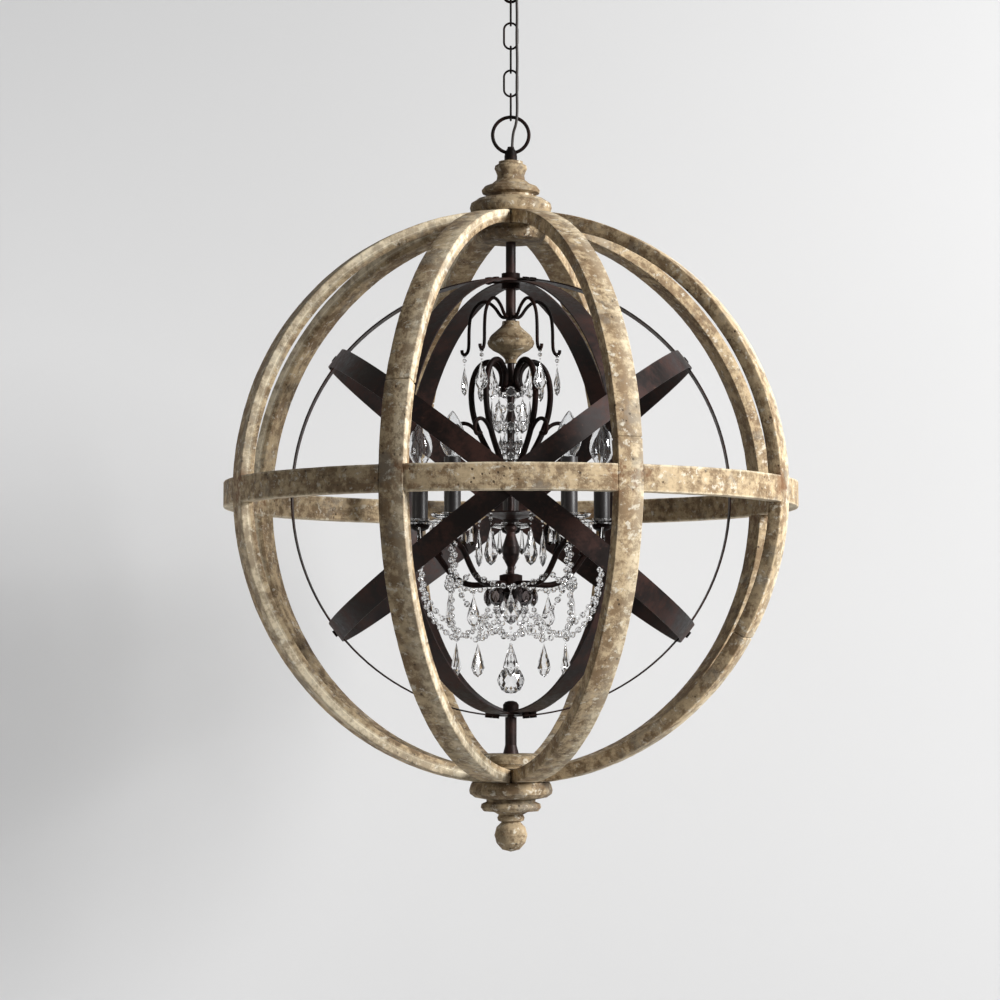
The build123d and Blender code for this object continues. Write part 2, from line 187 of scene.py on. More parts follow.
class Nodes:
    """A shader tree under construction."""

    def __init__(self, tree):
        self.tree = tree

    def add(self, kind, settings=None, inputs=None, output=0):
        node = self.tree.nodes.new(kind)
        for key, value in (settings or {}).items():
            setattr(node, key, value)
        for key, value in (inputs or {}).items():
            if isinstance(value, Value):
                self.tree.links.new(value.socket, node.inputs[key])
            else:
                node.inputs[key].default_value = value
        return Value(self, node.outputs[output])


class Shade(Nodes):
    """A material under construction."""

    def __init__(self, name, **principled):
        self.material = bpy.data.materials.new(name)
        self.material.use_nodes = True
        super().__init__(self.material.node_tree)
        self.surface = self.tree.nodes["Principled BSDF"]
        for key, value in principled.items():
            self.surface.inputs[key.replace("_", " ")].default_value = value

    def place(self, scale=(1, 1, 1), source="Object"):
        """Object coordinates, or the UV map, stretched by scale."""
        found = self.add("ShaderNodeTexCoord", output=source)
        return self.add("ShaderNodeMapping", inputs={"Vector": found, "Scale": scale})

    def noise(self, where, scale, detail=4.0, roughness=0.55, distortion=0.0):
        return self.add("ShaderNodeTexNoise", inputs={
            "Vector": where, "Scale": scale, "Detail": detail, "Roughness": roughness,
            "Distortion": distortion})

    def mix(self, factor, first, second):
        """Colour mix; index 2 is the colour output."""
        node = self.tree.nodes.new("ShaderNodeMix")
        node.data_type = "RGBA"
        for socket, value in ((node.inputs[0], factor), (node.inputs[6], first), (node.inputs[7], second)):
            if isinstance(value, Value):
                self.tree.links.new(value.socket, socket)
            elif socket.type == "RGBA":
                socket.default_value = (*value[:3], 1.0)
            else:
                socket.default_value = value
        return Value(self, node.outputs[2])

    def bump(self, height, strength, distance):
        return self.add("ShaderNodeBump", inputs={
            "Height": height, "Strength": strength, "Distance": distance})

    def finish(self, **sockets):
        for key, value in sockets.items():
            self.tree.links.new(value.socket, self.surface.inputs[key.replace("_", " ")])
        return self.material


def limewashed_wood(name, colours, source, grain, corners=(), pale=1.0):
    """Pale paint rubbed off brown wood, with grain, patches, worm holes, chips and stains.

    Paint stays cream along the corners, given as places around a strip's section: worn
    paint, partly a painted highlight on the edges. The side faces are painted cream all
    over as painted light, and a strip is stained where it laps the next. Lengths are in
    metres, and steps in shares."""
    shade = Shade(name, Roughness=0.82)
    shade.surface.inputs["Specular IOR Level"].default_value = 0.22
    body = shade.place()
    along = shade.place(grain, source)
    broad = shade.noise(body, 11.0, 5.0, 0.66)
    clouds = shade.noise(body, 62.0, 5.0, 0.72)
    fine = shade.noise(body, 190.0, 3.0, 0.75)
    streaks = shade.noise(along, 1.0, 5.0, 0.65, 0.3)
    limewash, bare = ([c * pale for c in colour] for colour in (colours.limewash, colours.bare))
    paint = shade.mix((clouds * 0.6 + fine * 0.4).step(0.40, 0.60), limewash, [c * 0.70 for c in limewash])
    wood = shade.mix(streaks.step(0.35, 0.65), bare, [c * 1.75 for c in bare])
    rubbed = (broad * 0.30 + clouds * 0.50 + streaks * 0.20).step(0.45, 0.56)
    colour = shade.mix(rubbed * 0.88, paint, wood)
    for stretch, pattern, low, high, share, tone in (
        ((1.2, 0.9, 1.1), (17.0, 4.0, 0.7), 0.53, 0.66, 0.45, (0.22, 0.205, 0.175)),    # grey ash
        ((1.0, 1.0, 1.0), (7.5, 4.0, 0.7), 0.57, 0.70, 0.35, (0.19, 0.155, 0.085)),     # mould
        ((1.3, 1.1, 0.9), (15.0, 5.0, 0.78, 0.8), 0.61, 0.72, 0.55, colours.stain),     # rust
        ((0.8, 1.1, 1.0), (95.0, 4.0, 0.7), 0.56, 0.66, 0.70, (0.66, 0.61, 0.50)),      # paint chips
    ):
        marks = shade.noise(shade.place(stretch), *pattern).step(low, high)
        colour = shade.mix(marks * share, colour, tone)
    cells = shade.add("ShaderNodeTexVoronoi", {"feature": "F1"}, {"Vector": body, "Scale": 105.0})
    holes = cells.step(0.12, 0.22, 1.0, 0.0) * shade.noise(body, 31.0, 3.0).step(0.545, 0.60)
    colour = shade.mix(holes * 0.75, colour, (0.050, 0.033, 0.021))
    if corners:
        around = shade.add("ShaderNodeSeparateXYZ", inputs={"Vector": shade.place(source=source)}, output=1)
        # Cream along the corners: worn paint, partly a painted highlight on the edges.
        edge = sum((around - corner).size().step(0.0008, 0.0030, 1.0, 0.0) for corner in corners)
        # Both side faces of a strip, cream all over: painted light.
        sides = sum((around - (one + two) / 2).size().step((two - one) / 2 - 0.001, (two - one) / 2, 1.0, 0.0)
                    for one, two in (corners[1:3], corners[3:5]))
        kept = (clouds * 0.5 + broad * 0.5).step(0.40, 0.55, 1.0, 0.35)
        # Painted light mixed with wear: the cream goes on the corners and, stronger, on the side faces.
        colour = shade.mix((edge * 0.5 + sides * 0.75) * kept, colour, colours.worn)
        east, north, height = (
            shade.add("ShaderNodeSeparateXYZ", inputs={"Vector": body}, output=axis) for axis in range(3))
        turn = shade.add("ShaderNodeMath", {"operation": "ARCTAN2"}, {0: north, 1: east})
        beat = shade.add("ShaderNodeMath", {"operation": "COSINE"}, {0: turn * 8.0})
        lap = (height - ORB_Z).size().step(0.012, 0.034, 1.0, 0.0) * beat.step(-0.97, -0.62, 1.0, 0.0)
        blot = shade.noise(shade.place((1.1, 0.9, 1.0)), 24.0, 4.0, 0.75).step(0.50, 0.62)
        colour = shade.mix(lap * blot * 0.8, colour, [0.75 * c for c in colours.stain])
    relief = streaks * 0.5 + clouds * 0.45 + fine * 0.3 - rubbed * 0.5 - holes * 1.2
    return shade.finish(
        Base_Color=colour, Roughness=rubbed.step(0.0, 1.0, 0.88, 0.70),
        Normal=shade.bump(relief, 0.6, 0.0012))


def aged_bronze(name, colours, lift=1.0, rough=0.42, gloss=0.3):
    """Dark painted metal, rubbed red-brown in patches."""
    shade = Shade(name, Metallic=0.35)
    shade.surface.inputs["Specular IOR Level"].default_value = gloss
    body = shade.place()
    cloud = shade.noise(body, 18.0, 6.0, 0.65, 0.3)
    speck = shade.noise(body, 160.0, 3.0, 0.7)
    rub = (cloud * 0.7 + speck * 0.3).step(0.42, 0.64)
    dark = [c * lift for c in colours.dark]
    worn = [c * lift for c in colours.worn]
    colour = shade.mix(rub, dark, worn)
    colour = shade.mix(speck.step(0.66, 0.76) * 0.4 * lift, colour, (0.13, 0.075, 0.05))
    return shade.finish(
        Base_Color=colour, Roughness=(cloud * 0.5 + speck * 0.5).step(0.3, 0.7, rough - 0.1, rough + 0.2),
        Normal=shade.bump(speck * 0.6 + cloud, 0.25, 0.0006))


def plain_metal(name, colour, rough):
    shade = Shade(name, Metallic=1.0)
    speck = shade.noise(shade.place(), 240.0, 3.0)
    tone = shade.mix(speck, colour, [c * 0.7 for c in colour])
    return shade.finish(Base_Color=tone, Roughness=speck.step(0.3, 0.7, rough, rough + 0.15))


def cut_glass(name, settings, tint=(1.0, 1.0, 1.0)):
    """Clear crystal; a faint change of tone keeps it from looking like plastic."""
    shade = Shade(name, Roughness=0.0, IOR=settings.index, Transmission_Weight=1.0)
    tone = shade.mix(shade.noise(shade.place(), 30.0, 2.0), tint, [c * 0.96 for c in tint])
    return shade.finish(Base_Color=tone)


def satin_plastic(name, colour, rough):
    shade = Shade(name)
    speck = shade.noise(shade.place(), 300.0, 3.0)
    tone = shade.mix(speck, colour, [c * 1.5 for c in colour])
    return shade.finish(
        Base_Color=tone, Roughness=speck.step(0.2, 0.8, rough - 0.06, rough + 0.08),
        Normal=shade.bump(speck, 0.12, 0.0003))


def wall_paint(name, colour):
    """Plain paint; from behind the sheet is clear, so that the back of the chandelier can be seen."""
    shade = Shade(name, Roughness=0.9)
    tone = shade.mix(shade.noise(shade.place(), 1.4, 3.0), colour, [c * 0.97 for c in colour])
    choice = shade.add("ShaderNodeMixShader", inputs={
        0: shade.add("ShaderNodeNewGeometry", output="Backfacing"),
        1: Value(shade, shade.surface.outputs[0]), 2: shade.add("ShaderNodeBsdfTransparent")})
    shade.tree.links.new(choice.socket, shade.tree.nodes["Material Output"].inputs["Surface"])
    return shade.finish(Base_Color=tone)


MATERIALS = {}


def finish_named(name):
    return MATERIALS[name]


# ---- mesh helpers ----


def new_object(name, vertices, faces, material, smooth=True):
    mesh = bpy.data.meshes.new(name)
    mesh.from_pydata([tuple(v) for v in vertices], [], faces)
    mesh.materials.append(material)
    mesh.update()
    return shown(mesh, smooth)


def shown(mesh, smooth):
    """The object that shows a mesh, under the mesh's name."""
    mesh.shade_smooth() if smooth else mesh.shade_flat()
    piece = bpy.data.objects.new(mesh.name, mesh)
    bpy.context.collection.objects.link(piece)
    return piece


def seat(piece, body, slot, *nodes):
    """Give a finished piece its body and hide the CAD nodes that it stands for; slot is not used."""
    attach(piece, body)
    if nodes:
        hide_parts(*nodes)
    return piece


def softened(points, times=3):
    """Corner cutting: the smooth line that a bent rod takes near its corners, ends kept."""
    line = [Vector(p) for p in points]
    for _ in range(times):
        cut = [line[0]]
        for a, b in zip(line, line[1:]):
            cut += [a.lerp(b, 0.25), a.lerp(b, 0.75)]
        line = cut + [line[-1]]
    return line


def spline_line(points, steps=8):
    """The smooth line that a NURBS spline draws near its points."""
    curve = bpy.data.curves.new("route", "CURVE")
    curve.dimensions = "3D"
    spline = curve.splines.new("NURBS")
    spline.points.add(len(points) - 1)
    for point, place in zip(spline.points, points):
        point.co = (*place, 1.0)
    spline.order_u = 3
    spline.use_endpoint_u = True
    spline.resolution_u = steps
    holder = bpy.data.objects.new("route", curve)
    line = [vertex.co.copy() for vertex in bpy.data.meshes.new_from_object(holder).vertices]
    bpy.data.objects.remove(holder)
    start = Vector(points[0])
    return line if (line[0] - start).length < (line[-1] - start).length else line[::-1]


def strip(name, rings, material, closed=False):
    """A skin over rings of points, with UV along the strip in metres and around it."""
    count = len(rings[0])
    vertices = [point for ring in rings for point in ring]
    last = len(rings) if closed else len(rings) - 1
    faces, uv = [], []
    along = [0.0]
    for a, b in zip(rings, rings[1:] + rings[:1]):
        along.append(along[-1] + (sum(b, Vector()) / count - sum(a, Vector()) / count).length)
    around = [0.0]
    for a, b in zip(rings[0], rings[0][1:] + rings[0][:1]):
        around.append(around[-1] + (b - a).length)
    for i in range(last):
        for j in range(count):
            k = (j + 1) % count
            n = (i + 1) % len(rings)
            faces.append((i * count + j, i * count + k, n * count + k, n * count + j))
            uv.append([(along[i], around[j]), (along[i], around[j + 1]),
                       (along[i + 1], around[j + 1]), (along[i + 1], around[j])])
    if not closed:
        faces += [tuple(reversed(range(count))), tuple(last * count + j for j in range(count))]
        uv += [[(along[0], around[j]) for j in reversed(range(count))],
               [(along[last], around[j]) for j in range(count)]]
    piece = new_object(name, vertices, faces, material)
    layer = piece.data.uv_layers.new(name="grain")
    flat = [pair for face in uv for pair in face]
    layer.data.foreach_set("uv", [value for pair in flat for value in pair])
    piece.data.set_sharp_from_angle(angle=math.radians(40))
    return piece


def rounded_section(half_width, low, high, radius, steps=3):
    """Rectangle with rounded corners as (across, through) pairs, anticlockwise."""
    outline = []
    for cx, cy, start in (
        (half_width - radius, high - radius, 0), (-half_width + radius, high - radius, 90),
        (-half_width + radius, low + radius, 180), (half_width - radius, low + radius, 270),
    ):
        for i in range(steps + 1):
            turn = math.radians(start + 90 * i / steps)
            outline.append((cx + radius * math.cos(turn), cy + radius * math.sin(turn)))
    return outline


def corners_around(wood):
    """Where the corners lie on the way around a rib's section, the first one at both ends."""
    turn = wood.edge_round * math.pi / 2
    face = wood.rib_width - 2 * wood.edge_round
    side = wood.rib_depth - 2 * wood.edge_round
    places = [turn / 2]
    for flat in (face, side, face, side):
        places.append(places[-1] + turn + flat)
    return places


def faceted(profile, sides, squash=1.0):
    """Cut stone from (radius, height) pairs: each ring is turned half a facet from the last."""
    vertices, rings = [], []
    for index, (radius, height) in enumerate(profile):
        if radius == 0:
            rings.append([len(vertices)])
            vertices.append(Vector((0, 0, height)))
            continue
        ring = []
        for k in range(sides):
            turn = math.tau * (k + 0.5 * (index % 2)) / sides
            ring.append(len(vertices))
            vertices.append(Vector((radius * math.cos(turn), radius * math.sin(turn) * squash, height)))
        rings.append(ring)
    faces = []
    for index, (low, high) in enumerate(zip(rings, rings[1:])):
        for k in range(sides):
            n = (k + 1) % sides
            if len(low) == 1:
                faces.append((low[0], high[n], high[k]))
            elif len(high) == 1:
                faces.append((low[k], low[n], high[0]))
            elif index % 2 == 0:
                faces += [(low[k], low[n], high[k]), (low[n], high[n], high[k])]
            else:
                faces += [(low[k], high[n], high[k]), (low[k], low[n], high[n])]
    return vertices, faces


def drop_profile(top, length, radius):
    """Pear-shaped cut drop with a pin, lowest point first."""
    return [
        (0, top - length), (radius * 0.62, top - length * 0.90), (radius, top - length * 0.72),
        (radius * 0.80, top - length * 0.52), (radius * 0.45, top - length * 0.28),
        (radius * 0.16, top - length * 0.10), (0, top),
    ]


def octagon_profile(radius, depth):
    return [(0, -depth), (radius * 0.62, -depth), (radius, -depth * 0.2), (radius, depth * 0.2),
            (radius * 0.62, depth), (0, depth)]


def ball_profile(latitudes):
    """Cut ball of radius 1, from the latitudes of its upper rings."""
    both = [-turn for turn in reversed(latitudes)] + [0, *latitudes]
    return [(0, -1)] + [(math.cos(turn), math.sin(turn)) for turn in both] + [(0, 1)]


class StoneTray:
    """Collects placed stones into one mesh."""

    def __init__(self):
        self.vertices, self.faces = [], []

    def add(self, stone, place=Matrix()):
        vertices, faces = stone
        start = len(self.vertices)
        self.vertices += [place @ v for v in vertices]
        self.faces += [tuple(start + index for index in face) for face in faces]

    def build(self, name, material):
        return new_object(name, self.vertices, self.faces, material, smooth=False)


def facing(turn, radius, height, scale=1.0):
    """Matrix that sets a stone at an azimuth, its X axis along the circle."""
    return Matrix.Translation(at_azimuth(turn, radius, height)) @ Matrix.Rotation(turn, 4, "Z") \
        @ Matrix.Scale(scale, 4)


# ---- geometry node trees ----


class Growth:
    """A geometry node tree with named inputs."""

    def __init__(self, name, **numbers):
        self.tree = bpy.data.node_groups.new(name, "GeometryNodeTree")
        self.inputs = {}
        self._socket("Geometry", "INPUT", "NodeSocketGeometry")
        for key, value in numbers.items():
            self._socket(key, "INPUT", "NodeSocketFloat").default_value = value
        self._socket("Finish", "INPUT", "NodeSocketMaterial")
        self._socket("Geometry", "OUTPUT", "NodeSocketGeometry")
        self.source = self.tree.nodes.new("NodeGroupInput")

    def _socket(self, key, direction, kind):
        made = self.tree.interface.new_socket(key, in_out=direction, socket_type=kind)
        if direction == "INPUT":
            self.inputs[key] = made.identifier
        return made

    def given(self, key):
        return self.source.outputs[key]

    def add(self, kind, inputs=None, settings=None):
        node = self.tree.nodes.new(kind)
        for key, value in (settings or {}).items():
            setattr(node, key, value)
        for key, value in (inputs or {}).items():
            if isinstance(value, bpy.types.NodeSocket):
                self.tree.links.new(value, node.inputs[key])
            else:
                node.inputs[key].default_value = value
        return node

    def close(self, geometry):
        """Realize, set the finish and end the tree."""
        real = self.add("GeometryNodeRealizeInstances", {"Geometry": geometry})
        done = self.add("GeometryNodeSetMaterial", {
            "Geometry": real.outputs[0], "Material": self.given("Finish")})
        end = self.tree.nodes.new("NodeGroupOutput")
        self.tree.links.new(done.outputs[0], end.inputs[0])
        return self

    def grow(self, name, lines, finish, smooth=True, **numbers):
        """Run the tree on poly lines and return a plain mesh object."""
        curve = bpy.data.curves.new(name + "_line", "CURVE")
        curve.dimensions = "3D"
        for line in lines:
            spline = curve.splines.new("POLY")
            spline.points.add(len(line) - 1)
            for point, place in zip(spline.points, line):
                point.co = (*place, 1.0)
        holder = bpy.data.objects.new(name + "_line", curve)
        bpy.context.collection.objects.link(holder)
        modifier = holder.modifiers.new("grow", "NODES")
        modifier.node_group = self.tree
        for key, value in {**numbers, "Finish": finish}.items():
            modifier[self.inputs[key]] = value
        graph = bpy.context.evaluated_depsgraph_get()
        mesh = bpy.data.meshes.new_from_object(holder.evaluated_get(graph), depsgraph=graph)
        holder.modifiers.remove(modifier)
        bpy.data.objects.remove(holder)
        mesh.name = name
        return shown(mesh, smooth)


def round_rod_tree():
    """A round rod of one thickness along each line."""
    growth = Growth("round_rod", Thickness=0.003)
    profile = growth.add("GeometryNodeCurvePrimitiveCircle", {
        "Resolution": 14, "Radius": growth.given("Thickness")})
    skin = growth.add("GeometryNodeCurveToMesh", {
        "Curve": growth.given("Geometry"), "Profile Curve": profile.outputs[0], "Fill Caps": True})
    return growth.close(skin.outputs[0])


def bead_string_tree():
    """Cut beads in a row, large and small in turn."""
    growth = Growth("bead_string", Bead=0.004, Spacing=0.011)
    evenly = growth.add("GeometryNodeResampleCurve", {
        "Curve": growth.given("Geometry"), "Length": growth.given("Spacing")}, {"mode": "LENGTH"})
    bead = growth.add("GeometryNodeMeshIcoSphere", {
        "Radius": growth.given("Bead"), "Subdivisions": 2})
    order = growth.add("GeometryNodeInputIndex")
    turnabout = growth.add("ShaderNodeMath", {0: order.outputs[0], 1: 2.0}, {"operation": "MODULO"})
    size = growth.add("ShaderNodeMapRange", {
        "Value": turnabout.outputs[0], "From Max": 1.0, "To Min": 1.0, "To Max": 0.42})
    spun = growth.add("FunctionNodeRandomValue", {"Max": (3.1, 3.1, 3.1), "Seed": 4},
                      {"data_type": "FLOAT_VECTOR"})
    beads = growth.add("GeometryNodeInstanceOnPoints", {
        "Points": evenly.outputs[0], "Instance": bead.outputs[0], "Rotation": spun.outputs[0],
        "Scale": size.outputs[0]})
    return growth.close(beads.outputs[0])


def prism_crown_tree():
    """Slim cut prisms hung at even steps round each closed line."""
    growth = Growth("prism_crown", Length=0.032, Width=0.0042, Spacing=0.02)
    evenly = growth.add("GeometryNodeResampleCurve", {
        "Curve": growth.given("Geometry"), "Length": growth.given("Spacing")}, {"mode": "LENGTH"})
    body = growth.add("GeometryNodeMeshCone", {
        "Vertices": 6, "Radius Top": 0.0012, "Radius Bottom": growth.given("Width"),
        "Depth": growth.given("Length")})
    tip_drop, pin_drop = 0.0042, 0.034       # the tip under the body, the prism under its dish's rim
    tip = growth.add("GeometryNodeMeshCone", {
        "Vertices": 6, "Radius Top": growth.given("Width"), "Radius Bottom": 0.0,
        "Depth": growth.given("Width")})
    lowered = growth.add("GeometryNodeTransform", {
        "Geometry": tip.outputs[0], "Translation": (0, 0, -tip_drop)})
    both = growth.add("GeometryNodeJoinGeometry")
    for part in (body.outputs[0], lowered.outputs[0]):
        growth.tree.links.new(part, both.inputs[0])
    hung = growth.add("GeometryNodeTransform", {
        "Geometry": both.outputs[0], "Translation": (0, 0, -pin_drop)})
    prisms = growth.add("GeometryNodeInstanceOnPoints", {
        "Points": evenly.outputs[0], "Instance": hung.outputs[0]})
    return growth.close(prisms.outputs[0])


# ---- operators ----


class Finishes(bpy.types.Operator):
    """Make every material of the chandelier"""
    bl_idname = "chandelier.finishes"
    bl_label = "Finishes"

    def execute(self, context):
        wood, bronze = context.scene.orb_wood, context.scene.orb_bronze
        crystal, studio = context.scene.orb_crystal, context.scene.orb_studio
        MATERIALS.update({
            "strip_wood": limewashed_wood(
                "strip_wood", wood, "UV", (9, 190, 1), corners_around(wood)),
            "turned_wood": limewashed_wood(
                "turned_wood", wood, "Object", (20, 20, 120), pale=wood.turned),
            "bronze": aged_bronze("bronze", bronze),
            "blackened": aged_bronze("blackened_bronze", bronze, 0.5, 0.5, 0.12),
            "strap": aged_bronze("strap_bronze", bronze, 1.1, 0.48),
            "steel": plain_metal("zinc_steel", (0.42, 0.41, 0.39), 0.34),
            "brass": plain_metal("lamp_brass", (0.55, 0.42, 0.22), 0.28),
            "crystal": cut_glass("cut_crystal", crystal),
            # Painted dark reflection: this glass is tinted near black to stand for the dark reflections in
            # the hub stones.
            "painted_dark_reflection": cut_glass("painted_dark_reflection_crystal", crystal, (0.13, 0.11, 0.11)),
            "lamp_glass": cut_glass("lamp_glass", crystal, (0.98, 0.99, 1.0)),
            "sleeve": satin_plastic("candle_sleeve", (0.012, 0.010, 0.010), 0.38),
            "socket": satin_plastic("lamp_holder", (0.02, 0.02, 0.02), 0.5),
            "cord": satin_plastic("cord_jacket", (0.015, 0.010, 0.008), 0.55),
            "wall": wall_paint("wall_paint", studio.wall),
        })
        return {"FINISHED"}


class StudioStage(bpy.types.Operator):
    """Camera, wall, floor and soft light"""
    bl_idname = "chandelier.stage"
    bl_label = "Stage"

    wall_y = 0.78

    def execute(self, context):
        studio = context.scene.orb_studio
        self.camera(context, studio)
        self.room(studio)
        self.lamps(context, studio)
        context.scene.view_settings.view_transform = "Standard"
        return {"FINISHED"}

    def camera(self, context, studio):
        frame_px = 1000                      # the picture is square
        focal_px = 2900.0                    # focal length in the frame's pixels
        orb_x, orb_y = 510.85, 496.6         # where the frame shows the orb's centre
        data = bpy.data.cameras.new("camera")
        data.sensor_fit = "HORIZONTAL"
        data.sensor_width = 36.0
        data.lens = data.sensor_width * focal_px / frame_px
        data.clip_end = 60
        forward = Vector((0, math.cos(studio.below), math.sin(studio.below)))
        place = ORB - forward * studio.distance
        per_px = studio.distance / focal_px
        right = Vector((1, 0, 0))
        up = right.cross(forward)
        aim = ORB - right * (orb_x - frame_px / 2) * per_px + up * (orb_y - frame_px / 2) * per_px
        camera = bpy.data.objects.new("camera", data)
        camera.location = place
        camera.rotation_euler = (aim - place).to_track_quat("-Z", "Y").to_euler()
        context.collection.objects.link(camera)
        context.scene.camera = camera

    def room(self, studio):
        """One bent sheet: floor, curved corner and wall."""
        floor_z, wall_y, bend = ORB_Z - 2.4, self.wall_y, 0.6
        front_y, wall_height, half = -4.2, 6.0, 3.6
        line = [(front_y, floor_z)]
        for i in range(13):
            turn = math.radians(90 * i / 12)
            line.append((wall_y - bend + bend * math.sin(turn), floor_z + bend - bend * math.cos(turn)))
        line.append((wall_y, floor_z + wall_height))
        vertices = [(x, y, z) for y, z in line for x in (-half, half)]
        faces = [(2 * i, 2 * i + 1, 2 * i + 3, 2 * i + 2) for i in range(len(line) - 1)]
        new_object("room_sheet", vertices, faces, finish_named("wall"))

    def lamps(self, context, studio):
        for name, place, aim, size, spread, power in (
            ("key", (5.2, -2.8, ORB_Z + 1.9), ORB, 2.4, 110, studio.key),
            ("fill", (-2.8, -2.4, ORB_Z + 0.3), ORB, 2.6, 180, studio.fill),
            ("under", (0.6, -1.6, ORB_Z - 2.1), ORB, 2.4, 180, studio.fill),
            ("wash", (-2.2, -0.9, ORB_Z - 0.5), (-1.3, self.wall_y, ORB_Z - 0.4), 1.2, 110, studio.wash),
        ):
            data = bpy.data.lights.new(name, "AREA")
            data.energy = power
            data.size = size
            data.spread = math.radians(spread)
            lamp = bpy.data.objects.new(name, data)
            lamp.location = place
            lamp.rotation_euler = (Vector(aim) - Vector(place)).to_track_quat("-Z", "Y").to_euler()
            context.collection.objects.link(lamp)
        world = context.scene.world or bpy.data.worlds.new("room")
        context.scene.world = world
        world.use_nodes = True
        nodes = Nodes(world.node_tree)
        sky = nodes.tree.nodes["Background"]
        sky.inputs["Color"].default_value = (1.0, 0.995, 0.985, 1.0)
        camera, glossy, through = (
            nodes.add("ShaderNodeLightPath", output=f"Is {ray} Ray")
            for ray in ("Camera", "Glossy", "Transmission"))
        strength = nodes.add("ShaderNodeMapRange", inputs={
            "Value": camera + glossy + through, "To Min": studio.sky, "To Max": studio.backdrop})
        nodes.tree.links.new(strength.socket, sky.inputs["Strength"])


# The cord's route, in millimetres from the ceiling: straight out of the canopy's collar,
# down beside the chain, through the ring and into the orb's collar.
CORD_ROUTE = [
    (8.4, -4.6, -38.0),
    (8.4, -4.6, -56.0),
    (9.1, -4.9, -80.0),
    (8.2, -4.7, -108.0),
    (9.4, -5.0, -143.0),
    (8.3, -4.8, -178.0),
    (9.3, -5.1, -210.0),
    (8.0, -5.3, -232.5),
    (2.4, -1.2, -246.8),
    (2.0, 0.0, -264.8),
]
CORD_R = 2.0 * MM


class SupplyCord(bpy.types.Operator):
    """The cord beside the chain, one piece for each joint that it bends over"""
    bl_idname = "chandelier.cord"
    bl_label = "Cord"

    def execute(self, context):
        line = spline_line([[value * MM for value in place] for place in CORD_ROUTE])
        heights = [line[0].z] + [centre_of(f"chain_link_{k + 1}").z for k in range(5)] + [line[-1].z]
        tree = round_rod_tree()
        for index, (top, low) in enumerate(zip(heights, heights[1:])):
            part = [p for p in line if low < p.z < top]
            part = [self.crossing(line, top)] + part + [self.crossing(line, low)]
            piece = tree.grow(f"cord_{index + 1}", [part], finish_named("cord"), Thickness=CORD_R)
            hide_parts("power_cord")
            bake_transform(piece)
            length = sum((b - a).length for a, b in zip(part, part[1:]))
        return {"FINISHED"}

    def crossing(self, line, height):
        for a, b in zip(line, line[1:]):
            if a.z >= height >= b.z:
                return a.lerp(b, (a.z - height) / max(a.z - b.z, 1e-9))
        return line[-1]


